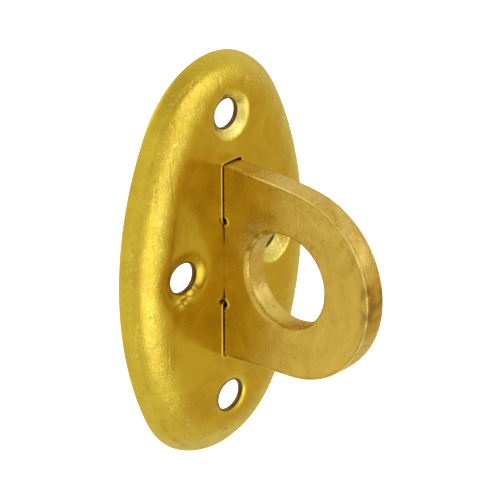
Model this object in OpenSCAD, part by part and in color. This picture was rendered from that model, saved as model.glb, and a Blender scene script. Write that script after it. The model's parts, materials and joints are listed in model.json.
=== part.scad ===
// Pad eye: a D-shaped eye plate riveted edge-on through a pressed oval base plate.
// Millimetres. The origin is the centre of the wall side of the base plate.
// +Z runs along the long axis of the base plate, and the eye stands out toward -Y.

/* [Base plate] */
// Height of the oval base plate
plate_h = 80; // [79:1:84]
// Width of the oval base plate
plate_w = 51.6; // [50:0.2:54]
// Radius of the two end arcs of the oval
end_r = 20.6; // [20:0.2:22]
// Thickness of the sheet
sheet_t = 1.5; // [1.2:0.1:1.8]
// Depth of the pressing, from the wall to the middle of the face
press_depth = 6.4; // [6.2:0.1:8]
// Width of the rolled rim, seen from the front
roll_w = 8.8; // [7:0.2:9.4]
// Fall of the crowned band, from the flat middle to the start of the roll
crown = 1.2; // [0.4:0.1:1.2]
// Width of the crowned band between the roll and the flat middle
crown_w = 7.2; // [5:0.2:7.4]

/* [Screw holes] */
// Diameter of each screw hole
screw_d = 6.1; // [5:0.1:7]
// Distance between the upper and lower screw holes
screw_span_z = 57.4; // [56:0.2:58]
// Distance between the left and right screw holes
screw_span_x = 27; // [26:0.5:29]
// Diameter of the sunk seat around each hole, at the face
seat_d = 10.8; // [9.6:0.2:11.2]
// Depth of the seat below the middle of the face
seat_depth = 1.8; // [1.4:0.1:2.2]
// Thickness of the sheet where it is coined at the bottom of a seat
seat_land = 0.8; // [0.6:0.1:1.2]

/* [Eye plate] */
// Thickness of the eye plate
eye_t = 5; // [4:0.1:5.4]
// Width of the eye plate at its round end
eye_w = 37.6; // [36.6:0.2:38.6]
// Width of the eye plate at the joint
root_w = 38.8; // [38.6:0.2:39.4]
// How far the joint is above the middle, and the round end below it
skew = 0.3; // [0:0.1:0.5]
// Reach of the eye plate in front of the face
eye_reach = 34.8; // [33:0.2:40]
// Diameter of the eye
eye_d = 18.4; // [14:0.2:20]
// Distance from the face to the centre of the eye
eye_stand = 14.8; // [14:0.2:16]
// Length of the shoulder between the two tenons
shoulder_w = 16.8; // [15:0.2:18]
// Radius of the relief where a tenon meets the shoulder
relief_r = 0.6; // [0.4:0.1:0.8]
// Clearance around a tenon in its slot
slot_gap = 0.2; // [0.2:0.05:0.4]
// Corner radius of a slot
slot_corner_r = 0.9; // [0.6:0.1:1.2]
// How far a peened head laps past its tenon
head_lap = 1.4; // [1:0.1:1.8]
// Thickness of a peened head
head_t = 1.6; // [1.2:0.1:2.4]

/* [Hidden] */
$fn = 72;
over = 1;

// The oval: each end arc runs smoothly into two long side arcs.
half_h = plate_h / 2;
half_w = plate_w / 2;
end_z = half_h - end_r;
side_r = (half_w * half_w + end_z * end_z - end_r * end_r) / (2 * (half_w - end_r));
side_x = side_r - half_w;
end_turn = atan2(side_x, end_z);
side_turn = 90 - end_turn;

// Depths: the wall is at 0 and the front is toward -Y.
face_y = -press_depth;
back_y = face_y + sheet_t;
seat_y = face_y + seat_depth;
seat_r = seat_d / 2;
screw_r = screw_d / 2;

// The pressing's section depends only on the distance in from the outline.
roll_steps = 9;
crown_steps = 4;
roll_fall = press_depth - crown;

// An elliptical quarter from the wall up to the face: [distance, height].
function roll(from_w, rise) = [for (i = [0:roll_steps])
    let (a = 90 * i / roll_steps) [roll_w - (roll_w - from_w) * cos(a), rise * sin(a)]];

// The crowned band of the face, which levels out at the flat middle.
function face(lift) = [for (i = [1:crown_steps])
    let (s = i / crown_steps) [roll_w + crown_w * s, roll_fall + crown * s * (2 - s) + lift]];

function backward(list) = [for (i = [len(list) - 1:-1:0]) list[i]];

// The sheet from the wall to the centre of an end arc, and on past it by the tail.
function section(tail) = concat(
    roll(0, roll_fall), face(0),
    [[end_r + tail, press_depth], [end_r + tail, press_depth - sheet_t]],
    backward(face(-sheet_t)), backward(roll(sheet_t, roll_fall - sheet_t)));

// The section turned about the centre of one arc of the outline.
module arc_shell(r, first, turn, tail) {
    rotate([90, 0, 0]) rotate([0, 0, first])
        rotate_extrude(angle = turn, $fn = 180)
            polygon([for (p = section(tail)) [r - p[0], p[1]]]);
}

module end_shell() {
    translate([0, 0, end_z]) arc_shell(end_r, 90 - end_turn, 2 * end_turn, 0);
}

module side_shell() {
    past_middle = half_w - end_r + over;
    translate([-side_x, 0, 0]) arc_shell(side_r, -side_turn, 2 * side_turn, past_middle);
}

module pressed_shell() {
    end_shell();
    mirror([0, 0, 1]) end_shell();
    side_shell();
    mirror([1, 0, 0]) side_shell();
}

// Places its children at the four screw holes, with their +Z toward the wall.
module at_screws() {
    for (side = [-1, 1]) {
        translate([0, 0, side * screw_span_z / 2]) rotate([-90, 0, 0]) children();
        translate([side * screw_span_x / 2, 0, 0]) rotate([-90, 0, 0]) children();
    }
}

// The sheet that is pushed back around a hole.
module seat_wall() {
    top = back_y - sheet_t / 4;
    translate([0, 0, top])
        cylinder(h = seat_y + seat_land - top, r1 = seat_r, r2 = screw_r + seat_land);
}

// The sunk seat and the hole through it.
module seat_cut() {
    flare = (seat_r - screw_r) / seat_depth;
    translate([0, 0, face_y - over])
        cylinder(h = over + seat_depth, r1 = seat_r + over * flare, r2 = screw_r);
    translate([0, 0, face_y]) cylinder(h = press_depth, r = screw_r);
}

// The upper tenon's outline in the plane of the wall, grown by a margin, with round corners.
module tenon_outline(margin, r, shift) {
    x = eye_t / 2 + margin;
    low = shoulder_w / 2 - margin;
    high = root_w / 2 + shift + margin;
    translate([-x + r, low]) square([2 * (x - r), high - low]);
    translate([-x, low + r]) square([2 * x, high - low - 2 * r]);
    for (cx = [r - x, x - r], cz = [low + r, high - r])
        translate([cx, cz]) circle(r = r, $fn = 24);
}

// Extrudes an outline of the wall's plane from one depth to another.
module through(from_y, to_y) {
    translate([0, to_y, 0]) rotate([90, 0, 0])
        linear_extrude(height = to_y - from_y) children();
}

module slot_cut(shift) {
    through(face_y - over, 0) tenon_outline(slot_gap, slot_corner_r, shift);
}

module base_plate() {
    color([0.78, 0.62, 0.16])
        difference() {
            union() {
                pressed_shell();
                at_screws() seat_wall();
            }
            at_screws() seat_cut();
            slot_cut(skew);
            mirror([0, 0, 1]) slot_cut(-skew);
        }
}

// The D in front of the face, with its reach along +X and its top toward -Y.
module eye_outline() {
    nose_r = eye_w / 2;
    straight = eye_reach - nose_r;
    root = root_w / 2;
    polygon([
        [0, -root - skew], [straight, skew - nose_r],
        [straight, skew + nose_r], [0, root - skew]]);
    translate([straight, skew]) intersection() {
        circle(r = nose_r, $fn = 120);
        translate([0, -nose_r]) square([nose_r, eye_w]);
    }
}

// A tenon through its slot, and the head that is peened over behind the sheet.
module tenon(shift) {
    low = shoulder_w / 2;
    translate([-eye_t / 2, face_y, low])
        cube([eye_t, sheet_t + head_t / 2, root_w / 2 + shift - low]);
    through(back_y, back_y + head_t) tenon_outline(head_lap, head_lap, shift);
}

// A round hole along X, at a depth and a height.
module cross_hole(y, z, r) {
    translate([-eye_t, y, z]) rotate([0, 90, 0]) cylinder(h = 2 * eye_t, r = r, $fn = 96);
}

module eye_plate() {
    color([0.74, 0.58, 0.18])
        difference() {
            union() {
                translate([-eye_t / 2, face_y, 0]) rotate([0, 90, 0]) rotate([0, 0, -90])
                    linear_extrude(height = eye_t) eye_outline();
                tenon(skew);
                mirror([0, 0, 1]) tenon(-skew);
            }
            cross_hole(face_y - eye_stand, 0, eye_d / 2);
            for (side = [-1, 1]) cross_hole(face_y, side * shoulder_w / 2, relief_r);
        }
}

base_plate();
eye_plate();
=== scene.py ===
"""Pad eye: detailed meshes, plated-steel materials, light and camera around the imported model.

Shapes are worked out in millimetres and written to Blender in metres. The wall is at Y = 0,
the front is toward -Y, and +Z runs along the base plate. A height is a distance in front of
the wall, so it is -Y. A reach is a distance in front of the middle of the face.
"""
import json
import math

import bpy
import numpy as np
from mathutils import Matrix, Vector, geometry, noise


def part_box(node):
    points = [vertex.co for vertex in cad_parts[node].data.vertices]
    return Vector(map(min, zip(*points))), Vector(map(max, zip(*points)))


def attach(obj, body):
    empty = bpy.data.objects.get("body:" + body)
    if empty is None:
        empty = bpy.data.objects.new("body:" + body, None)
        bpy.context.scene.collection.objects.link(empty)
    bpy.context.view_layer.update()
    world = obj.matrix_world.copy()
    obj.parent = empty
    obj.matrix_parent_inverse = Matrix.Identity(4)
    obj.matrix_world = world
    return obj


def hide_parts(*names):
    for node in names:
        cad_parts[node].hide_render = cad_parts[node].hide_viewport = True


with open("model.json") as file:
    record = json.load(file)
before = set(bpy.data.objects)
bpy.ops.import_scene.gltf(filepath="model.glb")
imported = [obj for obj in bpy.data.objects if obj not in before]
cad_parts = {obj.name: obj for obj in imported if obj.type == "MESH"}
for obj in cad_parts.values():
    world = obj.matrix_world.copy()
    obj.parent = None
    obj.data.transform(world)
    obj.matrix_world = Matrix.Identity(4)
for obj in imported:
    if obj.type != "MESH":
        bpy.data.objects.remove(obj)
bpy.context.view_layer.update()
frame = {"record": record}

MM = 0.001
MOUNTS = {m["name"]: m for m in frame["record"]["mounts"]}


def mm(values):
    return np.array(values, float) / MM


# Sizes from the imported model.
plate_low, plate_high = (mm(corner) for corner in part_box("base_plate"))
eye_low, _ = (mm(corner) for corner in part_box("eye_plate"))
HALF_W, HALF_H, PRESS = plate_high[0], plate_high[2], -plate_low[1]
EYE_T = MOUNTS["eye"]["dims"]["length_mm"]
EYE_R = MOUNTS["eye"]["dims"]["r_mm"]
EYE_OUT = -mm(MOUNTS["eye"]["pos_m"])[1] - PRESS
EYE_REACH = -eye_low[1] - PRESS
SCREW_R = MOUNTS["upper_lower_screws"]["dims"]["hole_r_mm"]
SCREW_Z = MOUNTS["upper_lower_screws"]["dims"]["spacing_y_mm"] / 2
SCREW_X = MOUNTS["left_right_screws"]["dims"]["spacing_x_mm"] / 2

# The base plate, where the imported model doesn't name a size.
SHEET_T = 1.5  # thickness of the sheet
END_R = 20.6  # radius of the oval's end arcs
ROLL_W = 8.8  # width of the rolled rim, seen from the front
FULLNESS = 2.2  # exponent of the roll's curve, where 2 is an ellipse
CROWN = 1.6  # fall of the face from its middle to the roll
CROWN_W = 16.8  # distance in from the outline at which the crown is level
SEAT_LAND = 0.75  # sheet that is left where a seat is coined
FOOT_EDGE = 0.12  # size of the broken edges where the rim meets the wall
CREASE_IN = 1.3  # distance in from the outline of the die's crease

# The slots, which fit the tenons unevenly.
SLOT_GAP = 0.16  # clearance around a tenon
SLOT_FAR = 0.25  # further width on the +X side
SLOT_TAPER = 0.12  # how far the walls close in below the face
SLOT_CORNER_R = 0.6  # radius of the corners

# The eye plate.
NOSE_R = 18.8  # radius of the round end
ROOT_W = 38.8  # width at the joint
SKEW = 0.3  # how far the joint is above the middle, and the round end below it
FLANK_TURN = 78  # where the round end meets the upper flank, in degrees
FLANK_VIA = (14.35, 19.27)  # control point of the upper flank's slight bow
SHOULDER_W = 16.8  # length of the shoulder between the tenons
SEATED = 0.12  # how far the middle of the shoulder sinks into the face
SEATED_LOW, SEATED_HIGH = -5.0, 3.5  # between which heights it does
SEATED_EASE = 1.5  # over which length it gets there
RELIEF_R = 0.6  # radius of the notch where a tenon meets the shoulder
HEAD_LAP = 1.4  # how far a peened head laps past its tenon
TENON_PAST = 0.96  # how far a tenon goes on behind the sheet, inside its head

# The four-arc oval.
END_Z = HALF_H - END_R
SIDE_R = (HALF_W**2 + END_Z**2 - END_R**2) / (2 * (HALF_W - END_R))
SIDE_X = SIDE_R - HALF_W
END_TURN = math.atan2(SIDE_X, END_Z)

# Spacing of the base plate's mesh.
RIM_STEP = 0.55
SLOT_STEP = 0.3
SLOT_RING_STEP = 0.32
FIELD_PITCH = 0.6
ROLL_STEPS = 40
HOLE_POINTS = 84
FIELD_INSET = 3.6  # where the face's field of triangles gives way to the rings of the roll
FIELD_RINGS = (0.17, 0.35, 0.54, 0.75, 0.98, 1.25)  # carry the roll's rings on into the field
SEAT_RINGS = (0.06, 0.13, 0.22, 0.35, 0.55, 0.8, 1.1, 1.4, 1.7, 1.95, 2.15, 2.4, 2.7, 3.1, 3.5, 4.0)
SLOT_RINGS = (0.05, 0.12, 0.22, 0.34, 0.5, 0.75, 1.1)
GRID_CLEAR = 0.3  # between the last of these rings and the grid
WALL_RINGS = (0.12, 0.5, 0.9)  # places between the front and the back of the sheet

# Spacing of the eye plate's mesh, and of the peened heads'.
EDGE_STEP = 0.42
NOTCH_STEP = 0.12
EYE_POINTS = 132
SIDE_PITCH = 0.7
SIDE_FROM = -4  # reach at which the side faces' grid starts, behind the tenons
SIDE_RINGS = (0.12, 0.25, 0.4, 0.6, 0.9)
EYE_RINGS = (0.15, 0.35, 0.65, 1.0, 1.5)
LEAST_GAP = 0.08  # between a side face's points and its edges
HEAD_STEP = 0.37
HEAD_PITCH = 0.45

SIDES = (1, -1)


# ---------------------------------------------------------------- fields over points

def rough(points, scale, seed):
    """Smooth noise between -1 and 1 at points, with features about scale millimetres across."""
    shift = Vector((seed * 17.3, seed * 5.1, seed * 9.7))
    return np.array([noise.noise(Vector(p) / scale + shift) for p in points])


def patches(points, scale, seed, level, gain):
    """Noise around a level, cut off at 0 and 1."""
    return np.clip(level + gain * rough(points, scale, seed), 0, 1)


def smooth_step(x):
    x = np.clip(x, 0.0, 1.0)
    return x * x * (3 - 2 * x)


def ridge(x, middle, width):
    """1 along a line, falling off on both sides of it."""
    return np.exp(-((x - middle) / width) ** 2)


def hill(x, z, middle, widths):
    """1 at a place, falling off around it."""
    return np.exp(-((x - middle[0]) / widths[0]) ** 2 - ((z - middle[1]) / widths[1]) ** 2)


def soft_max(a, b, k):
    return (a + b + np.sqrt((a - b) ** 2 + k * k)) / 2


def soft_min(a, b, k):
    return (a + b - np.sqrt((a - b) ** 2 + k * k)) / 2


# ---------------------------------------------------------------- mesh helpers

class Surface:
    """The points and faces of one mesh while it is put together."""

    def __init__(self):
        self.blocks, self.faces, self.count = [], [], 0

    def add(self, block):
        """Adds points and returns their numbers."""
        numbers = list(range(self.count, self.count + len(block)))
        self.blocks.append(np.asarray(block))
        self.count += len(block)
        return numbers

    def skin(self, rings, flip=False):
        """Joins each ring of point numbers to the next with quads."""
        for first, second in zip(rings, rings[1:]):
            for (a, b), (d, c) in zip(ring_edges(first), ring_edges(second)):
                self.faces.append((d, c, b, a) if flip else (a, b, c, d))

    def points(self):
        return np.vstack(self.blocks)


def ring_edges(ring):
    return [(ring[i], ring[(i + 1) % len(ring)]) for i in range(len(ring))]


def numbered(rings):
    """The point numbers of rings that follow one another."""
    loops, start = [], 0
    for ring in rings:
        loops.append(list(range(start, start + len(ring))))
        start += len(ring)
    return loops


def hex_grid(us, vs, pitch):
    """A grid of points in which every second row is moved on by half a pitch."""
    return np.array([(u + pitch / 2 * (k % 2), v) for k, v in enumerate(vs) for u in us])


def triangulate(points, loops, keep):
    """Triangles over 2-D points, with the loops' edges kept, where keep says a centre is inside."""
    edges = [edge for loop in loops for edge in ring_edges(loop)]
    made = geometry.delaunay_2d_cdt(
        [Vector((float(u), float(v))) for u, v in points], edges, [], 0, 1e-5
    )
    verts, faces, origins = made[0], made[2], made[3]
    number = [source[0] if source else -1 for source in origins]
    corners = np.array(faces)
    centres = np.array(verts)[corners].mean(axis=1)
    inside = keep(centres[:, 0], centres[:, 1])
    return [
        tuple(number[i] for i in face)
        for face, wanted in zip(corners, inside)
        if wanted and min(number[i] for i in face) >= 0
    ]


def in_loop(x, y, loop):
    """Which points are inside a closed loop, by crossings."""
    inside = np.zeros(len(x), bool)
    ends = np.roll(loop, -1, axis=0)
    for (x0, y0), (x1, y1) in zip(loop, ends):
        if y0 == y1:
            continue
        spans = (y0 > y) != (y1 > y)
        cross = x0 + (y - y0) * (x1 - x0) / (y1 - y0)
        inside ^= spans & (x < cross)
    return inside


def link_mesh(name, points, faces, tone, wear_and_highlight):
    """A smooth-shaded object from points in millimetres, with its two vertex attributes."""
    mesh = bpy.data.meshes.new(name)
    mesh.from_pydata([tuple(p) for p in np.asarray(points) * MM], [], faces)
    mesh.validate()
    mesh.shade_smooth()
    for label, values in (("tone", tone), ("wear_and_highlight", wear_and_highlight)):
        attribute = mesh.attributes.new(label, "FLOAT", "POINT")
        attribute.data.foreach_set("value", np.asarray(values, np.float32))
    obj = bpy.data.objects.new(name, mesh)
    bpy.context.scene.collection.objects.link(obj)
    return obj


# ---------------------------------------------------------------- base plate: shape

def inset(x, z):
    """Distance in from the oval outline, and the unit direction toward the inside."""
    ax, az = np.abs(x), np.abs(z)
    in_end = ax * END_Z < (az - END_Z) * SIDE_X
    from_x = np.where(in_end, ax, ax + SIDE_X)
    from_z = np.where(in_end, az - END_Z, az)
    span = np.maximum(np.hypot(from_x, from_z), 1e-9)
    depth = np.where(in_end, END_R, SIDE_R) - span
    return depth, -np.sign(x) * from_x / span, -np.sign(z) * from_z / span


def outline(step):
    """Points on the oval outline and their inward directions, about step millimetres apart."""
    side_turn = math.pi / 2 - END_TURN
    arcs = [
        (-SIDE_X, 0.0, SIDE_R, -side_turn, 2 * side_turn),
        (0.0, END_Z, END_R, side_turn, 2 * END_TURN),
        (SIDE_X, 0.0, SIDE_R, math.pi - side_turn, 2 * side_turn),
        (0.0, -END_Z, END_R, math.pi + side_turn, 2 * END_TURN),
    ]
    points, inward = [], []
    for cx, cz, r, start, turn in arcs:
        count = round(r * turn / step)
        for i in range(count):
            a = start + turn * i / count
            points.append((cx + r * math.cos(a), cz + r * math.sin(a)))
            inward.append((-math.cos(a), -math.sin(a)))
    return np.array(points), np.array(inward)


def section(d):
    """Height of the pressed sheet's front at a distance in from the outline, and its slope."""
    s = np.clip(1 - d / ROLL_W, 0.0, 1.0)
    c = np.clip(1 - d / CROWN_W, 0.0, 1.0)
    fall = PRESS - CROWN
    root = np.maximum(1 - s**FULLNESS, 1e-6)
    height = fall * root ** (1 / FULLNESS) + CROWN * (1 - c * c)
    roll_slope = fall * root ** (1 / FULLNESS - 1) * s ** (FULLNESS - 1) / ROLL_W
    return height, roll_slope + 2 * CROWN * c / CROWN_W


class Seat:
    """A sunk screw seat: a cone from the hole up to the face, crisp toward one side."""

    def __init__(self, x, z, depth, outer, soft, crisp, crisp_to, stretch, squash, coin):
        self.x, self.z = x, z
        self.depth, self.outer = depth, outer
        self.soft, self.crisp, self.crisp_to = soft, crisp, math.radians(crisp_to)
        self.stretch, self.squash = stretch, squash
        self.coin = coin
        # Only the deep seats' cones get a painted highlight, pale on one side.
        self.pale = min(1.0, max(0.0, depth - 1.35) * 4)

    def radius(self, around):
        """The hole's radius: the press leaves each hole a little wider than it is tall."""
        return SCREW_R + self.stretch * np.cos(around) ** 2 - self.squash * np.sin(around) ** 2

    def polar(self, x, z):
        """The place around the hole, and how far out it is if the hole's edge is at SCREW_R."""
        around = np.arctan2(z - self.z, x - self.x)
        r = np.hypot(x - self.x, z - self.z)
        return r - self.radius(around) + SCREW_R, around

    def ring(self, r, offset=0.0):
        """Points around the hole, turned by a part of their spacing."""
        points = []
        for i in range(HOLE_POINTS):
            a = 2 * math.pi * (i + offset) / HOLE_POINTS
            reach = self.radius(a) - SCREW_R + r
            points.append((self.x + reach * math.cos(a), self.z + reach * math.sin(a)))
        return points

    def sink(self, x, z, wider=0.0):
        """How far the face is pushed back."""
        r, around = self.polar(x, z)
        facing = (1 + np.cos(around - self.crisp_to)) / 2
        soft = self.soft + (self.crisp - self.soft) * facing**1.5
        outer = self.outer + wider - 0.5 * (soft - self.crisp)
        inner = SCREW_R + 0.2 + wider * 0.6
        cone = self.depth * (outer - r) / (outer - inner)
        fade = smooth_step((outer + 3.0 - r) / 2.6)
        return soft_min(soft_max(cone, 0.0, soft), self.depth, 0.12) * fade

    def land(self, x, z):
        """How much thinner the sheet is where the seat is coined."""
        r, _ = self.polar(x, z)
        return self.coin * smooth_step((6.2 - r) / 2.2)


# Upper, left, right and lower. Each was struck a little differently, and the right one isn't coined.
COIN = SHEET_T - SEAT_LAND
SEATS = [
    Seat(0.35, SCREW_Z + 0.25, depth=1.6, outer=5.0, soft=0.9, crisp=0.5, crisp_to=-60,
         stretch=0.15, squash=0.28, coin=COIN),
    Seat(0.30 - SCREW_X, 0.0, depth=1.0, outer=5.4, soft=0.5, crisp=0.5, crisp_to=0,
         stretch=0.35, squash=0.12, coin=COIN),
    Seat(SCREW_X - 1.1, 0.6, depth=2.3, outer=5.4, soft=0.6, crisp=0.1, crisp_to=-40,
         stretch=0.1, squash=0.12, coin=0.0),
    Seat(-0.05, 0.6 - SCREW_Z, depth=0.6, outer=4.2, soft=0.6, crisp=0.3, crisp_to=-60,
         stretch=0.25, squash=0.15, coin=COIN),
]


def slot_frame(side):
    """Half the width between a slot's corner centres, and the lower and upper ones' heights."""
    half_x = (EYE_T + SLOT_FAR) / 2 + SLOT_GAP - SLOT_CORNER_R
    low = SHOULDER_W / 2 - SLOT_GAP + SLOT_CORNER_R
    high = ROOT_W / 2 + SKEW * side + SLOT_GAP - SLOT_CORNER_R
    return half_x, low, high


def slot_distance(x, z):
    """Distance outside the nearer slot's edge, negative inside the slot."""
    half_x, low, high = slot_frame(np.sign(z))
    dx = np.abs(x - SLOT_FAR / 2) - half_x
    dz = np.abs(np.abs(z) - (low + high) / 2) - (high - low) / 2
    outside = np.hypot(np.maximum(dx, 0), np.maximum(dz, 0))
    return outside + np.minimum(np.maximum(dx, dz), 0) - SLOT_CORNER_R


def slot_ring(margin, side, step):
    """Points around one slot at a margin outside its edge."""
    r = SLOT_CORNER_R + margin
    half_x, low, high = slot_frame(side)
    corners = [(half_x, low, -90), (half_x, high, 0), (-half_x, high, 90), (-half_x, low, 180)]
    points = []
    for i, (cx, cz, start) in enumerate(corners):
        for degrees in range(start, start + 91, 15):
            a = math.radians(degrees)
            points.append((cx + r * math.cos(a), cz + r * math.sin(a)))
        nx, nz, turn = corners[(i + 1) % 4]
        a = math.radians(turn)
        goal = (nx + r * math.cos(a), nz + r * math.sin(a))
        here = points[-1]
        count = max(1, round(math.dist(here, goal) / step))
        for j in range(1, count):
            t = j / count
            points.append((here[0] + (goal[0] - here[0]) * t, here[1] + (goal[1] - here[1]) * t))
    return [(x + SLOT_FAR / 2, z * side) for x, z in points]


def pinch(x, z):
    """The fold that the press leaves below the left seat, and its raised end."""
    raised = 0.5 * hill(x, z, (-13.7, -5.0), (1.5, 0.8))
    fold = 0.3 * hill(x, z, (-11.0, -3.1), (0.8, 0.7))
    dip = 0.28 * hill(x, z, (-13.2, -3.7), (1.6, 0.3))
    return raised + fold - dip


def front_height(x, z):
    """Height of the face with its seats, slot lips and the settling of worked sheet."""
    height, _ = section(inset(x, z)[0])
    for seat in SEATS:
        height = height - seat.sink(x, z)
    gap = slot_distance(x, z)
    lip = 0.15 * ridge(gap, 0.25, 0.17)
    dish = 0.10 * ridge(gap, 0.0, 2.2)
    return height + lip - dish + pinch(x, z)


def back_height(x, z):
    height, slope = section(inset(x, z)[0])
    thick = SHEET_T / np.sqrt(1 + slope**2)
    for seat in SEATS:
        height = height - seat.sink(x, z, wider=0.9)
        thick = thick - seat.land(x, z)
    return height - thick


# ---------------------------------------------------------------- base plate: mesh

def plate_field():
    """The flat layout of the face: its points, and the loops of its edge, holes and slots."""
    rim, inward = outline(RIM_STEP)
    rings = [rim + inward * FIELD_INSET]
    rings += [seat.ring(SCREW_R) for seat in SEATS]
    rings += [slot_ring(0.0, side, SLOT_STEP) for side in SIDES]
    loops = numbered(rings)

    around = []
    for seat in SEATS:
        for i, further in enumerate(SEAT_RINGS):
            around.extend(seat.ring(SCREW_R + further, 0.5 * (i % 2)))
    for side in SIDES:
        for margin in SLOT_RINGS:
            around.extend(slot_ring(margin, side, SLOT_RING_STEP))

    xs = np.arange(-HALF_W, HALF_W, FIELD_PITCH)
    zs = np.arange(-HALF_H, HALF_H, FIELD_PITCH * math.sqrt(3) / 2)
    grid = hex_grid(xs, zs, FIELD_PITCH)
    clear = slot_distance(grid[:, 0], grid[:, 1]) > SLOT_RINGS[-1] + GRID_CLEAR
    for seat in SEATS:
        clear &= seat.polar(grid[:, 0], grid[:, 1])[0] > SCREW_R + SEAT_RINGS[-1] + GRID_CLEAR
    spread = np.vstack([around, grid[clear]])
    depth, _, _ = inset(spread[:, 0], spread[:, 1])
    spread = spread[depth > FIELD_INSET + FIELD_RINGS[-1] + 0.25]
    rings += [rim + inward * (FIELD_INSET + further) for further in FIELD_RINGS]
    return np.vstack(rings + [spread]), loops


def field_keep(x, z):
    inside = slot_distance(x, z) > 0
    for seat in SEATS:
        inside &= seat.polar(x, z)[0] > SCREW_R * 0.999
    return inside & (inset(x, z)[0] > FIELD_INSET - 0.02)


def field_back(x, z):
    """The back of the field: behind the front square to the sheet, but straight behind at holes."""
    d, in_x, in_z = inset(x, z)
    _, slope = section(d)
    lean = SHEET_T * slope / np.sqrt(1 + slope**2)
    near_hole = np.zeros(len(x))
    for seat in SEATS:
        near_hole = np.maximum(near_hole, smooth_step((7 - np.hypot(x - seat.x, z - seat.z)) / 3))
    lean = lean * (1 - near_hole)
    return np.column_stack([x + in_x * lean, -back_height(x, z), z + in_z * lean])


def add_walls(sheet, front, back, loops):
    """The walls of the holes and slots, from the front points to the back ones."""
    tapers = [None] * len(SEATS) + [slot_ring(-SLOT_TAPER, side, SLOT_STEP) for side in SIDES]
    for loop, taper in zip(loops, tapers):
        rings = [loop]
        for place in WALL_RINGS:
            ring = front[loop] + (back[loop] - front[loop]) * place
            if taper:
                ring[:, [0, 2]] = taper
            rings.append(sheet.add(ring))
        rings.append([i + len(front) for i in loop])
        sheet.skin(rings)


def add_roll(sheet, front_edge, back_edge):
    """The roll, from the front of the field down to the wall and back up inside."""
    rim, inward = outline(RIM_STEP)

    def ring_at(d, y):
        ring = rim + inward * d
        return np.column_stack([ring[:, 0], np.full(len(rim), y), ring[:, 1]])

    start = math.acos(1 - FIELD_INSET / ROLL_W)
    outside, inside = [], []
    for k in range(1, ROLL_STEPS + 1):
        d = ROLL_W * (1 - math.cos(start * (1 - k / ROLL_STEPS)))
        height, _ = section(np.array([d]))
        outside.append(ring_at(d, min(-height[0], -FOOT_EDGE)))
        height, slope = section(np.array([max(d, 1e-4)]))
        length = math.hypot(1, slope[0])
        y = -(height[0] - SHEET_T / length)
        inside.append(ring_at(d + SHEET_T * (slope[0] / length), min(y, -FOOT_EDGE)))
    foot = [ring_at(FOOT_EDGE, 0.0), ring_at(SHEET_T - FOOT_EDGE, 0.0)]
    made = [sheet.add(ring) for ring in outside + foot + inside[::-1]]
    sheet.skin([front_edge] + made + [back_edge])


def base_plate():
    flat, loops = plate_field()
    x, z = flat[:, 0], flat[:, 1]
    count = len(flat)
    front = np.column_stack([x, -front_height(x, z), z])
    back = field_back(x, z)

    sheet = Surface()
    sheet.add(front)
    sheet.add(back)
    triangles = triangulate(flat, loops, field_keep)
    sheet.faces += [(a, c, b) for a, b, c in triangles]
    sheet.faces += [(a + count, b + count, c + count) for a, b, c in triangles]
    add_walls(sheet, front, back, loops[1:])
    add_roll(sheet, loops[0], [i + count for i in loops[0]])
    points = settle_plate(sheet.points())
    return link_mesh("pressed_base_plate", points, sheet.faces, plate_tone(points), plate_wear_and_highlight(points))


def settle_plate(points):
    """Adds the unevenness of pressed sheet and the die's crease, square to the sheet."""
    x, y, z = points.T
    d, in_x, in_z = inset(x, z)
    wave = 0.035 * rough(points, 9.0, 1) + 0.014 * rough(points, 3.2, 2)
    wander = 0.2 * rough(points, 18.0, 3)
    wave = wave - 0.085 * ridge(d - wander, CREASE_IN, 0.38) * press_line(x, z)
    _, slope = section(np.maximum(d, 1e-3))
    length = np.sqrt(1 + slope**2)
    move = (wave - 0.05) * smooth_step(-y / 1.5)
    tilt = slope / length * move
    return np.column_stack([x - in_x * tilt, y - move / length, z - in_z * tilt])


def press_line(x, z):
    """How strong the die's crease near the rim is: mostly round the lower end and the left."""
    lower, left = smooth_step((-z - 8) / 20), smooth_step((-x - 12) / 8)
    upper_left = smooth_step((z - 16) / 10) * smooth_step((-x + 2) / 10)
    return 0.25 + 0.75 * lower + 0.35 * left + 0.4 * upper_left


def plate_tone(points):
    """How brown the colour is, from 0 to 1: painted shade on the walls of the holes and slots, beside
    the left seat, along the roll's inner edge on the left and along the die's crease; and at the joint
    and inside.
    """
    x, y, z = points.T
    d, _, _ = inset(x, z)
    front, _ = section(np.maximum(d, 1e-3))
    holes = np.zeros(len(points))
    for seat in SEATS:
        r, _ = seat.polar(x, z)
        front = front - seat.sink(x, z)
        # Painted shade: the hole's wall and a thin ring round its edge are darkened.
        holes = np.maximum(holes, 0.95 * smooth_step((SCREW_R + 0.40 - r) / 0.16))
    gap = slot_distance(x, z)
    # Painted shade: the slot walls are darkened.
    slot_wall = 0.6 * smooth_step((0.04 - gap) / 0.04)
    joint = 0.05 * ridge(gap, 1.2, 1.2)
    # Painted shade: two dark patches by the left seat, one above it and one to its lower left.
    seat_shade = 0.32 * hill(x, z, (-13.6, 4.3), (2.2, 0.9))
    seat_shade += 0.36 * hill(x, z, (-16.8, -2.6), (1.2, 1.4))
    # Painted shade: a dark line along the roll's inner edge on the left.
    seam = 0.30 * hill(d, z, (8.4, 4), (0.45, 7)) * (x < 0)
    # Painted shade: darkening along the die's crease near the rim.
    crease = 0.24 * ridge(d, CREASE_IN, 0.3) * press_line(x, z)
    # Both painted shade lines, broken up by noise.
    lines = patches(points, 2.6, 31, 0.6, 0.9) * (seam + crease)
    inside = 0.35 * smooth_step((front + y - 0.6) / 0.5)
    return np.clip(np.maximum.reduce([holes, slot_wall, joint, seat_shade, lines, inside]), 0, 1)


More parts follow.
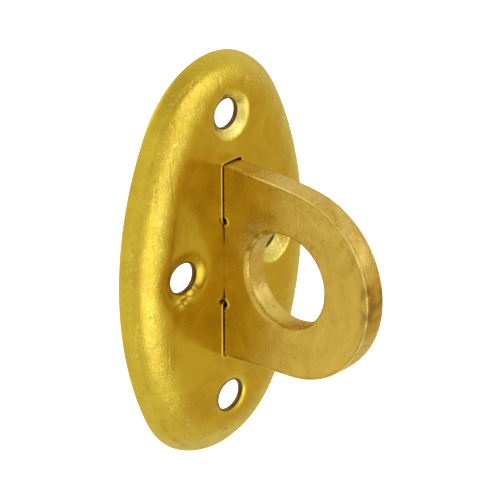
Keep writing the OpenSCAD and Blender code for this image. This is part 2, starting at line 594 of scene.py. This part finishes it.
def plate_wear_and_highlight(points):
    """Where handling leaves pale flecks, from 0 to 1 on the roll, and above 1 a painted highlight,
    pale throughout, on one side of the deep seats' cones.
    """
    x, y, z = points.T
    d, _, _ = inset(x, z)
    band = ridge(d, 4.0, 2.6)
    skirt = 0.65 * smooth_step((5.5 - d) / 3.0)
    wear_and_highlight = np.maximum(band, skirt) * smooth_step(-y / 2.0)
    in_front = front_height(x, z) + y < 0.4
    for seat in SEATS:
        r, around = seat.polar(x, z)
        # Painted highlight: one side of a deep seat's cone is made pale throughout.
        cone = smooth_step((seat.outer + 0.2 - r) / 0.6) * (1 + np.cos(around - seat.crisp_to)) / 2
        cone = cone * seat.pale * in_front
        wear_and_highlight = np.maximum(wear_and_highlight, (1 + 0.45 * cone) * (cone > 0.02))
    return wear_and_highlight


# ---------------------------------------------------------------- eye plate: shape

class Path:
    """An outline drawn from point to point in one plane."""

    def __init__(self, start, step):
        self.points, self.step = [np.array(start, float)], step

    def line(self, *to):
        here, to = self.points[-1], np.array(to)
        count = max(1, round(math.dist(here, to) / self.step))
        self.points += [here + (to - here) * (i / count) for i in range(1, count + 1)]

    def arc(self, cu, cv, r, start, turn, step):
        count = max(4, round(abs(math.radians(turn)) * r / step))
        for i in range(1, count + 1):
            a = math.radians(start + turn * i / count)
            self.points.append(np.array([cu + r * math.cos(a), cv + r * math.sin(a)]))

    def bow(self, via, to):
        """A curve with one control point."""
        here, via, to = self.points[-1], np.array(via), np.array(to)
        count = round(math.dist(here, to) / self.step)
        for i in range(1, count + 1):
            t = i / count
            self.points.append((1 - t) ** 2 * here + 2 * t * (1 - t) * via + t * t * to)


def eye_outline(step):
    """The eye plate's outline as (reach, z), anticlockwise from the foot of the lower tenon."""
    straight = EYE_REACH - NOSE_R
    tenon_back = -(SHEET_T + TENON_PAST)
    low = SHOULDER_W / 2
    top, bottom = ROOT_W / 2 + SKEW, ROOT_W / 2 - SKEW
    path = Path((tenon_back, -bottom), step)
    path.line(0, -bottom)
    path.line(straight, -SKEW - NOSE_R)
    path.arc(straight, -SKEW, NOSE_R, -90, 90 + FLANK_TURN, step)
    path.bow(FLANK_VIA, (0, top))
    path.line(tenon_back, top)
    path.line(tenon_back, low)
    path.line(-RELIEF_R, low)
    path.arc(0, low, RELIEF_R, 180, -270, NOTCH_STEP)
    path.line(0, SEATED_HIGH + SEATED_EASE)
    path.line(-SEATED, SEATED_HIGH)
    path.line(-SEATED, SEATED_LOW)
    path.line(0, SEATED_LOW - SEATED_EASE)
    path.line(0, -low + RELIEF_R)
    path.arc(0, -low, RELIEF_R, 90, -270, NOTCH_STEP)
    path.line(tenon_back, -low)
    path.line(tenon_back, -bottom)
    return np.array(path.points[:-1])


def outer_depth(reach, z):
    """Distance in from the edge of the D, which leaves out the edges behind the face."""
    depth = np.full(len(reach), np.inf)
    loop = eye_outline(1.0)
    for (r0, z0), (r1, z1) in zip(loop, np.roll(loop, -1, axis=0)):
        if max(r0, r1) < RELIEF_R + 0.1:
            continue
        run, rise = r1 - r0, z1 - z0
        along = np.clip(((reach - r0) * run + (z - z0) * rise) / (run**2 + rise**2), 0, 1)
        depth = np.minimum(depth, np.hypot(reach - r0 - along * run, z - z0 - along * rise))
    return depth


def loop_normals(loop):
    """Outward directions at the points of an anticlockwise loop, longer at sharp corners."""
    before = loop - np.roll(loop, 1, axis=0)
    after = np.roll(loop, -1, axis=0) - loop
    n1 = np.column_stack([before[:, 1], -before[:, 0]])
    n2 = np.column_stack([after[:, 1], -after[:, 0]])
    n1 /= np.linalg.norm(n1, axis=1)[:, None]
    n2 /= np.linalg.norm(n2, axis=1)[:, None]
    n = n1 + n2
    return n / np.maximum((n * n1).sum(axis=1), 0.5)[:, None]


# Across the thickness: the place from the near side to the far side, and how far the edge draws in.
OUTER_EDGE = [
    (0.0, 0.20), (0.012, 0.10), (0.035, 0.03), (0.07, 0.0), (0.16, 0.0), (0.27, 0.0),
    (0.38, 0.0), (0.5, 0.01), (0.62, 0.02), (0.74, 0.04), (0.84, 0.08), (0.92, 0.15),
    (0.97, 0.24), (1.0, 0.38),
]
# The same for the eye, with how much more the edge draws back on the side toward the base plate.
EYE_EDGE = [
    (0.0, 0.42, 0.62), (0.012, 0.27, 0.48), (0.035, 0.16, 0.36), (0.07, 0.08, 0.25),
    (0.12, 0.03, 0.15), (0.2, 0.0, 0.06), (0.3, 0.0, 0.0), (0.45, 0.0, 0.0), (0.6, 0.0, 0.0),
    (0.75, 0.0, 0.0), (0.88, 0.02, 0.0), (0.95, 0.05, 0.0), (0.985, 0.1, 0.0), (1.0, 0.16, 0.0),
]


# ---------------------------------------------------------------- eye plate: mesh

def across(place, ring):
    """A ring of (reach, z) points at a place across the thickness, as (x, reach, z)."""
    return np.column_stack([np.full(len(ring), (place - 0.5) * EYE_T), ring])


def side_points(loop_out, loop_eye):
    """Points between the edges of a side face: rings along the edges and a grid."""
    us = np.arange(SIDE_FROM, EYE_REACH, SIDE_PITCH)
    vs = np.arange(-ROOT_W / 2, ROOT_W / 2 + SKEW, SIDE_PITCH * math.sqrt(3) / 2)
    out_n = loop_normals(loop_out)
    spokes = loop_eye - np.array([EYE_OUT, 0.0])
    spokes = spokes / np.linalg.norm(spokes, axis=1)[:, None]
    rings = [loop_out - out_n * draw for draw in SIDE_RINGS]
    rings += [loop_eye + spokes * grow for grow in EYE_RINGS]
    points = np.vstack(rings + [hex_grid(us, vs, SIDE_PITCH)])
    inside = in_loop(points[:, 0], points[:, 1], loop_out - out_n * SIDE_RINGS[0])
    inside &= ~in_loop(points[:, 0], points[:, 1], loop_eye + spokes * 0.1)
    edges = np.vstack([loop_out, loop_eye])
    return np.array([p for p in points[inside] if np.hypot(*(p - edges).T).min() > LEAST_GAP])


def add_side(plate, outer_ids, eye_ids, side):
    """One side face, with a shallow dent beside the eye. The far side is 1 and the near one -1."""
    edges = plate.points()
    loop_out, loop_eye = edges[outer_ids][:, 1:], edges[eye_ids][:, 1:]

    def keep(u, v):
        return in_loop(u, v, loop_out) & ~in_loop(u, v, loop_eye)

    new = side_points(loop_out, loop_eye)
    flat = np.vstack([loop_out, loop_eye, new])
    triangles = triangulate(flat, numbered([loop_out, loop_eye]), keep)
    dent = 0.16 * hill(new[:, 0], new[:, 1], (8.2, 8.6), (2.6, 2.2))
    ids = outer_ids + eye_ids + plate.add(np.column_stack([side * (EYE_T / 2 - dent), new]))
    for a, b, c in triangles:
        plate.faces.append((ids[a], ids[b], ids[c]) if side > 0 else (ids[a], ids[c], ids[b]))


def eye_plate():
    plate = Surface()
    outer = eye_outline(EDGE_STEP)
    out_n = loop_normals(outer)
    outer_rings = [plate.add(across(place, outer - out_n * draw)) for place, draw in OUTER_EDGE]
    plate.skin(outer_rings)

    turns = np.linspace(0, 2 * math.pi, EYE_POINTS, endpoint=False)
    circle = np.column_stack([np.cos(turns), np.sin(turns)])
    eye = np.array([EYE_OUT, 0.0]) + circle * EYE_R
    toward_plate = smooth_step((0.35 - circle[:, 0]) / 1.1)
    eye_rings = []
    for place, draw, more in EYE_EDGE:
        back = circle * (draw + more * toward_plate)[:, None]
        eye_rings.append(plate.add(across(place, eye + back)))
    plate.skin(eye_rings, flip=True)

    add_side(plate, outer_rings[0], eye_rings[0], -1)
    add_side(plate, outer_rings[-1], eye_rings[-1], 1)
    points = settle_eye(plate.points())
    return link_mesh("sheared_eye_plate", points, plate.faces, eye_tone(points), eye_wear_and_highlight(points))


def settle_eye(points):
    """Adds shear marks and unevenness, then turns (x, reach, z) into the frame."""
    x, reach, z = points.T
    from_nose = reach - (EYE_REACH - NOSE_R), z + SKEW
    r_nose = np.hypot(*from_nose)
    on_rim = smooth_step((r_nose - NOSE_R + 0.9) / 0.8) * smooth_step((reach - 12) / 6)
    marks = 0.07 * rough(points, 2.4, 5) + 0.04 * rough(points, 1.1, 6)
    off_middle = np.abs(x) / (EYE_T / 2)
    draw = (0.06 + marks) * on_rim * smooth_step((1 - off_middle) * 5)
    reach = reach - from_nose[0] / np.maximum(r_nose, 1e-6) * draw
    z = z - from_nose[1] / np.maximum(r_nose, 1e-6) * draw
    flat = smooth_step((off_middle - 0.9) * 10)
    waves = 0.03 * rough(points, 7.0, 7) + 0.012 * rough(points, 2.5, 8)
    x = x - np.sign(x) * (0.04 + waves) * flat
    notch = np.hypot(reach, np.abs(z) - SHOULDER_W / 2)
    burr = 0.22 * ridge(notch - RELIEF_R, 0.3, 0.22) * (reach > 0.1)
    x = x + np.where(x < 0, -burr, 0.0) * flat
    return np.column_stack([x, -(PRESS + reach), z])


def eye_tone(points):
    """How brown the eye plate's colour is: painted shade beside the eye, round its upper rim and along
    the near edge; darker at the tip and on the hidden tenons; and mottled near the upper edge.
    """
    x, y, z = points.T
    reach = -y - PRESS
    depth = outer_depth(reach, z)
    r_eye = np.hypot(reach - EYE_OUT, z)
    cloud = patches(points, 1.7, 21, 0.55, 1.1)
    band = ridge(depth, 1.5, 1.0) * smooth_step((z - 1) / 5) * smooth_step((reach - 6) / 5)
    band += 0.8 * hill(reach, z, (22, 9), (6, 3.5))
    mottle = 0.26 * patches(points, 0.9, 22, 0.35, 1.5) * band * (x < 0)
    # Painted shade: a dark patch on the side faces between the joint and the eye, by the dent.
    darkening = 0.42 * cloud * hill(reach, z, (6.9, 7.6), (2.2, 2.8))
    # Painted shade: a dark ring just outside the eye, on its upper side toward the base plate.
    rim = 0.9 * cloud * ridge(r_eye - EYE_R, 0.75, 0.5) * smooth_step(z / 5)
    rim = rim * smooth_step((15.0 - reach) / 7)
    # Painted shade: a thin dark line just inside the outer edge on the near side.
    near_edge = 0.45 * cloud * ridge(depth, 0.45, 0.16) * (x < -2)
    hidden = 0.6 * smooth_step((0.05 - reach) / 0.15)
    tip = 0.5 * cloud * smooth_step((reach - 32.6) / 0.9)
    tip = tip * smooth_step((4.4 - np.abs(z + 0.2) - 0.5 * x) / 1.2)
    blots = np.clip(1.4 * rough(points, 1.5, 24) - 0.4, 0, 0.16)
    blots = blots * smooth_step((0.45 - depth) / 0.2) * smooth_step((reach - 22) / 4)
    return np.clip(np.maximum.reduce([darkening, rim, near_edge, hidden, tip, blots, mottle]), 0, 1)


def eye_wear_and_highlight(points):
    """Pale flecks on the sheared edge and round the eye; painted highlights, pale throughout, on the
    upper edge, on the eye's wall and along the near corner; and painted lightening by the joint.
    """
    x, y, z = points.T
    reach = -y - PRESS
    depth = outer_depth(reach, z)
    edge = smooth_step((0.5 - depth) / 0.4)
    r_eye = np.hypot(reach - EYE_OUT, z)
    wear_and_highlight = np.maximum(0.8 * edge, 0.7 * ridge(r_eye - EYE_R, 0.3, 0.9)) + 0.15
    # Painted highlight: patches on the upper edge toward the tip made pale throughout.
    edge_highlight = patches(points, 2.6, 25, 0.25, 1.2) * edge
    edge_highlight = edge_highlight * smooth_step((reach - 20) / 5) * smooth_step((z - 1.5) / 3)
    # Painted highlight: the eye's wall on its lower side toward the base plate made pale throughout.
    wall = smooth_step((EYE_R + 0.25 - r_eye) / 0.3) * smooth_step((EYE_OUT - 1 - reach) / 5)
    wall = wall * patches(points, 2.0, 26, 0.75, 1.0) * smooth_step((4 - z) / 5)
    glow = np.maximum(0.35 * edge_highlight, 0.3 * wall)
    wear_and_highlight = np.where(glow > 0.02, 1.0 + glow, wear_and_highlight)
    # Painted highlight: a pale line along the near corner of the outer edge, and round the notches.
    corner = smooth_step((0.27 - depth) / 0.1) * smooth_step((-x - EYE_T / 2 + 0.25) / 0.2)
    notch = np.hypot(reach, np.abs(z) - SHOULDER_W / 2)
    corner = np.maximum(corner, smooth_step((RELIEF_R + 0.25 - notch) / 0.2))
    # Painted lightening: more pale flecks on the near face by the joint, against the dark reflection
    # there.
    near_joint = 0.35 * smooth_step((7 - reach) / 4) * (x < -EYE_T / 4)
    bright = 1.0 + 0.8 * corner * patches(points, 3.0, 23, 0.75, 0.9)
    return np.where(corner > 0.01, bright, wear_and_highlight + near_joint) * (reach > 0)


# ---------------------------------------------------------------- peened heads

# From the sheet to the top: how far the head's edge draws in, and how far behind the sheet it is.
HEAD_LEVELS = [
    (0.25, 0.0), (0.08, 0.1), (0.0, 0.3), (0.02, 0.55), (0.12, 0.85), (0.35, 1.15),
    (0.75, 1.36), (1.3, 1.48), (1.9, 1.52),
]


def peened_head(name, side):
    """The beaten end of a tenon behind the sheet: a pillow with hammer marks."""
    sheet_back = PRESS - SHEET_T
    half_x = EYE_T / 2 + HEAD_LAP
    low, high = SHOULDER_W / 2 - HEAD_LAP, ROOT_W / 2 + SKEW * side + HEAD_LAP
    middle = np.array([0, (low + high) / 2 * side])

    def lifted(flat, lift):
        return np.column_stack([flat[:, 0], np.broadcast_to(lift - sheet_back, len(flat)), flat[:, 1]])

    head = Surface()
    rings = []
    for draw, lift in HEAD_LEVELS:
        top = np.array(slot_ring(HEAD_LAP - SLOT_GAP - draw, side, HEAD_STEP))
        rings.append(head.add(lifted(top, lift)))
    head.skin(rings, flip=side > 0)

    xs = np.arange(-half_x, half_x, HEAD_PITCH)
    zs = np.arange(low, high, HEAD_PITCH) * side
    grid = np.array([(x, z) for x in xs for z in zs])
    inner = grid[in_loop(grid[:, 0], grid[:, 1], top * 0.97 + middle * 0.03)]
    flat = np.vstack([top, inner])
    triangles = triangulate(flat, numbered([top]), lambda u, v: in_loop(u, v, top))
    dome = 0.06 * (1 - (inner[:, 0] / half_x) ** 2)
    ids = rings[-1] + head.add(lifted(inner, HEAD_LEVELS[-1][1] + dome))
    head.faces += [(ids[a], ids[c], ids[b]) for a, b, c in triangles]

    points = head.points()
    beaten = smooth_step((points[:, 1] + sheet_back - 0.5) / 0.6)
    marks = 0.11 * np.abs(rough(points, 2.2, 11)) + 0.05 * rough(points, 0.9, 12)
    points[:, 1] -= (0.05 + marks) * beaten
    return link_mesh(name, points, head.faces, 0.35 * (1 - beaten), 0.5 * beaten)


# ---------------------------------------------------------------- materials

class Nodes:
    """Short calls for one material's node tree."""

    def __init__(self, material):
        material.use_nodes = True
        self.nodes, self.links = material.node_tree.nodes, material.node_tree.links
        self.shader = self.nodes["Principled BSDF"]
        self.place = self.nodes.new("ShaderNodeTexCoord").outputs["Object"]

    def noise(self, scale, detail=3.0, roughness=0.5, distortion=0.0):
        node = self.nodes.new("ShaderNodeTexNoise")
        node.inputs["Scale"].default_value = scale
        node.inputs["Detail"].default_value = detail
        node.inputs["Roughness"].default_value = roughness
        node.inputs["Distortion"].default_value = distortion
        self.links.new(self.place, node.inputs["Vector"])
        return node.outputs["Fac"]

    def scratches(self, scale, turn, stretch):
        """Noise drawn out along one direction."""
        node = self.nodes.new("ShaderNodeMapping")
        node.inputs["Rotation"].default_value = turn
        node.inputs["Scale"].default_value = (1.0, 1.0, stretch)
        self.links.new(self.place, node.inputs["Vector"])
        tex = self.nodes.new("ShaderNodeTexNoise")
        tex.inputs["Scale"].default_value = scale
        tex.inputs["Detail"].default_value = 2.0
        self.links.new(node.outputs["Vector"], tex.inputs["Vector"])
        return tex.outputs["Fac"]

    def attribute(self, name):
        node = self.nodes.new("ShaderNodeAttribute")
        node.attribute_name = name
        return node.outputs["Fac"]

    def ramp(self, value, low, high, low_out=0.0, high_out=1.0):
        node = self.nodes.new("ShaderNodeMapRange")
        node.inputs["From Min"].default_value = low
        node.inputs["From Max"].default_value = high
        node.inputs["To Min"].default_value = low_out
        node.inputs["To Max"].default_value = high_out
        self.links.new(value, node.inputs["Value"])
        return node.outputs["Result"]

    def maths(self, operation, a, b):
        node = self.nodes.new("ShaderNodeMath")
        node.operation = operation
        for socket, value in zip(node.inputs, (a, b)):
            if isinstance(value, float):
                socket.default_value = value
            else:
                self.links.new(value, socket)
        return node.outputs[0]

    def blend(self, factor, a, b):
        node = self.nodes.new("ShaderNodeMix")
        node.data_type = "RGBA"
        self.links.new(factor, node.inputs[0])
        for socket, value in ((node.inputs[6], a), (node.inputs[7], b)):
            if isinstance(value, tuple):
                socket.default_value = (*value, 1.0)
            else:
                self.links.new(value, socket)
        return node.outputs[2]


# Brown, for stains and for painted shade.
BROWN = (0.075, 0.030, 0.005)


def metal_colour(n, wear_and_highlight, light, dark, pale):
    """A cloudy colour with pale flecks where it is rubbed, brown pits, and the brown of the tone,
    which holds stains and painted shade.

    The attribute's values up to 1 are how many flecks there are, and what is above 1 is a painted
    highlight, pale throughout.
    """
    mist = n.noise(120.0, detail=5.0, roughness=0.62, distortion=0.8)
    clouds = n.ramp(mist, 0.38, 0.64)
    base = n.blend(clouds, light, dark)
    specks = n.noise(1300.0, detail=5.0, roughness=0.7, distortion=1.6)
    flecks = n.ramp(specks, 0.54, 0.62, 0.0, 0.6)
    patch = n.ramp(n.noise(240.0), 0.40, 0.62, 0.1, 1.0)
    flecks_and_highlight = n.maths("MULTIPLY", n.maths("MULTIPLY", flecks, patch), wear_and_highlight)
    # Above 1, the attribute is a painted highlight, pale throughout.
    flecks_and_highlight = n.maths("MAXIMUM", flecks_and_highlight, n.maths("SUBTRACT", wear_and_highlight, 1.0))
    base = n.blend(flecks_and_highlight, base, pale)
    pits = n.ramp(n.noise(1250.0, roughness=0.6, distortion=0.8), 0.36, 0.28)
    darkening = n.maths("MULTIPLY", pits, n.ramp(wear_and_highlight, 0.0, 1.0, 0.12, 0.55))
    # The tone attribute carries brown stains and painted shade.
    darkening = n.maths("MAXIMUM", darkening, n.attribute("tone"))
    return n.blend(darkening, base, BROWN)


def metal_bump(n, wear_and_highlight):
    """The grain of the plating and fine scratches, both stronger where it is rubbed and where a
    highlight is painted.
    """
    grain = n.noise(1500.0, detail=4.0, roughness=0.7, distortion=1.2)
    peel = n.noise(620.0, detail=2.0, distortion=0.8)
    texture = n.maths("MULTIPLY", n.maths("ADD", grain, peel), n.ramp(wear_and_highlight, 0.0, 1.0, 0.30, 1.35))
    lines = n.ramp(n.scratches(700.0, (0.5, 0.3, 0.4), 0.08), 0.62, 0.68, 0.0, -0.8)
    more_lines = n.ramp(n.scratches(560.0, (-0.7, 0.2, -0.9), 0.07), 0.62, 0.67, 0.0, -0.8)
    lines = n.maths("MULTIPLY", n.maths("ADD", lines, more_lines), n.ramp(wear_and_highlight, 0.0, 1.0, 0.1, 1.0))
    height = n.maths("ADD", texture, lines)
    bump = n.nodes.new("ShaderNodeBump")
    bump.inputs["Strength"].default_value = 0.5
    bump.inputs["Distance"].default_value = 0.00008
    n.links.new(height, bump.inputs["Height"])
    return bump.outputs["Normal"]


def plated_metal(name, light, dark, pale, roughness):
    """Zinc-plated, gold-passivated steel."""
    material = bpy.data.materials.new(name)
    n = Nodes(material)
    inputs = n.shader.inputs
    inputs["Metallic"].default_value = 1.0
    inputs["Coat Weight"].default_value = 0.12
    inputs["Coat Roughness"].default_value = 0.2
    wear_and_highlight = n.attribute("wear_and_highlight")
    sheen = n.noise(420.0, detail=4.0, roughness=0.6)
    uneven = n.ramp(sheen, 0.3, 0.7, roughness - 0.07, roughness + 0.09)
    n.links.new(metal_colour(n, wear_and_highlight, light, dark, pale), inputs["Base Color"])
    n.links.new(uneven, inputs["Roughness"])
    n.links.new(metal_bump(n, wear_and_highlight), inputs["Normal"])
    return material


# ---------------------------------------------------------------- light and camera

def add_lobe(nodes, links, place, total, lobe):
    """Adds a soft round light in one direction to the world's colour so far."""
    direction, inner, outer, strength, tint = lobe
    aim = nodes.new("ShaderNodeVectorMath")
    aim.operation = "DOT_PRODUCT"
    aim.inputs[1].default_value = Vector(direction).normalized()
    links.new(place, aim.inputs[0])
    fall = nodes.new("ShaderNodeMapRange")
    fall.interpolation_type = "SMOOTHERSTEP"
    fall.inputs["From Min"].default_value = math.cos(math.radians(outer))
    fall.inputs["From Max"].default_value = math.cos(math.radians(inner))
    fall.inputs["To Max"].default_value = strength
    links.new(aim.outputs["Value"], fall.inputs["Value"])
    glow = nodes.new("ShaderNodeVectorMath")
    glow.operation = "SCALE"
    glow.inputs[0].default_value = tint
    links.new(fall.outputs["Result"], glow.inputs["Scale"])
    add = nodes.new("ShaderNodeVectorMath")
    add.operation = "ADD"
    links.new(total, add.inputs[0])
    links.new(glow.outputs["Vector"], add.inputs[1])
    return add.outputs["Vector"]


def studio_world(surround, lobes):
    """A soft studio: an even surround with broad lobes, and plain white to the camera."""
    world = bpy.data.worlds.new("studio")
    bpy.context.scene.world = world
    world.use_nodes = True
    nodes, links = world.node_tree.nodes, world.node_tree.links
    nodes.clear()
    place = nodes.new("ShaderNodeTexCoord")
    total = nodes.new("ShaderNodeCombineXYZ")
    for socket, value in zip(total.inputs, surround):
        socket.default_value = value
    total = total.outputs[0]
    for lobe in lobes:
        total = add_lobe(nodes, links, place.outputs["Generated"], total, lobe)
    studio = nodes.new("ShaderNodeBackground")
    links.new(total, studio.inputs["Color"])
    plain = nodes.new("ShaderNodeBackground")
    plain.inputs["Color"].default_value = (1.0, 1.0, 1.0, 1.0)
    plain.inputs["Strength"].default_value = 1.0
    seen = nodes.new("ShaderNodeLightPath")
    choose = nodes.new("ShaderNodeMixShader")
    links.new(seen.outputs["Is Camera Ray"], choose.inputs[0])
    links.new(studio.outputs[0], choose.inputs[1])
    links.new(plain.outputs[0], choose.inputs[2])
    out = nodes.new("ShaderNodeOutputWorld")
    links.new(choose.outputs[0], out.inputs[0])


def floor():
    """A white floor below the piece, in metres, which its reflections leave out."""
    drop, size = 0.25, 12.0
    corners = [(size * u, size * v, -drop) for u, v in ((-1, -1), (1, -1), (1, 1), (-1, 1))]
    mesh = bpy.data.meshes.new("floor")
    mesh.from_pydata(corners, [], [(0, 1, 2, 3)])
    obj = bpy.data.objects.new("floor", mesh)
    bpy.context.scene.collection.objects.link(obj)
    material = bpy.data.materials.new("floor_white")
    material.use_nodes = True
    shader = material.node_tree.nodes["Principled BSDF"]
    shader.inputs["Base Color"].default_value = (0.9, 0.9, 0.9, 1.0)
    shader.inputs["Roughness"].default_value = 0.9
    shader.inputs["Emission Color"].default_value = (1.0, 1.0, 1.0, 1.0)
    shader.inputs["Emission Strength"].default_value = 0.9
    mesh.materials.append(material)
    obj.visible_glossy = False


def camera():
    """A long lens from the left and above, level with the plate's length upright."""
    azimuth, elevation, roll = math.radians(-50.25), math.radians(23.05), math.radians(-0.24)
    distance = 3.25  # in metres, from the middle of the face
    frame_mm = 93.97  # width of the picture at that distance
    aim_right, aim_up = 3.26, 1.60  # middle of the picture from the middle of the face, in mm
    back = Vector((
        math.sin(azimuth) * math.cos(elevation),
        -math.cos(azimuth) * math.cos(elevation),
        math.sin(elevation),
    ))
    right = Vector((math.cos(azimuth), math.sin(azimuth), 0))
    up = back.cross(right)
    turned_right = right * math.cos(roll) + up * math.sin(roll)
    turned_up = up * math.cos(roll) - right * math.sin(roll)
    data = bpy.data.cameras.new("camera")
    data.lens = data.sensor_width * distance / (frame_mm * MM)
    data.clip_end = 100.0
    obj = bpy.data.objects.new("camera", data)
    bpy.context.scene.collection.objects.link(obj)
    face = Vector((0, -PRESS * MM, 0))
    obj.location = face + back * distance + (turned_right * aim_right + turned_up * aim_up) * MM
    axes = Matrix((turned_right, turned_up, back)).transposed()
    obj.rotation_mode = "QUATERNION"
    obj.rotation_quaternion = axes.to_quaternion()
    bpy.context.scene.camera = obj


# ---------------------------------------------------------------- build

pieces = [
    (base_plate(), "base_plate", "pressed_sheet"),
    (eye_plate(), "eye_plate", "sheared_plate"),
    (peened_head("peened_head_upper", 1), "eye_plate", "sheared_plate"),
    (peened_head("peened_head_lower", -1), "eye_plate", "sheared_plate"),
]
metals = {
    "pressed_sheet": plated_metal(
        "plated_pressed_sheet", (0.63, 0.47, 0.040), (0.55, 0.375, 0.028), (0.92, 0.82, 0.30), 0.21
    ),
    "sheared_plate": plated_metal(
        "plated_sheared_plate", (0.63, 0.42, 0.070), (0.51, 0.32, 0.040), (0.90, 0.75, 0.32), 0.24
    ),
}
for piece, node, slot in pieces:
    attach(piece, "root")
    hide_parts(node)
    piece.data.materials.append(metals[slot])

# Each lobe: direction, where its fall starts and ends in degrees, strength and tint.
white = (1.0, 1.0, 1.0)
key = (0.95, 1.0, 1.6)
studio_world((0.92, 0.90, 0.72), [
    ((-0.11, -0.91, -0.39), 3, 22, 1.30, key),
    ((0.10, -0.99, 0.04), 3, 20, 0.75, key),
    ((0.22, -0.85, 0.48), 3, 22, 1.20, key),
    ((0.60, -0.68, 0.42), 3, 20, 0.55, key),
    ((-0.71, 0.59, -0.39), 5, 40, 0.10, key),
    ((0.76, -0.57, -0.33), 5, 42, -0.20, (0.8, 1.45, 2.2)),
    ((-0.1, -0.2, 0.97), 5, 50, -0.16, (1.0, 1.0, 1.2)),
    ((0.75, 0.50, -0.40), 10, 50, -0.20, (0.7, 1.0, 2.2)),
    ((-0.6, -0.6, -0.2), 10, 60, 0.10, white),
    ((-0.4, 0.6, 0.7), 8, 35, 0.6, white),
])
floor()
camera()
bpy.context.scene.view_settings.view_transform = "Standard"
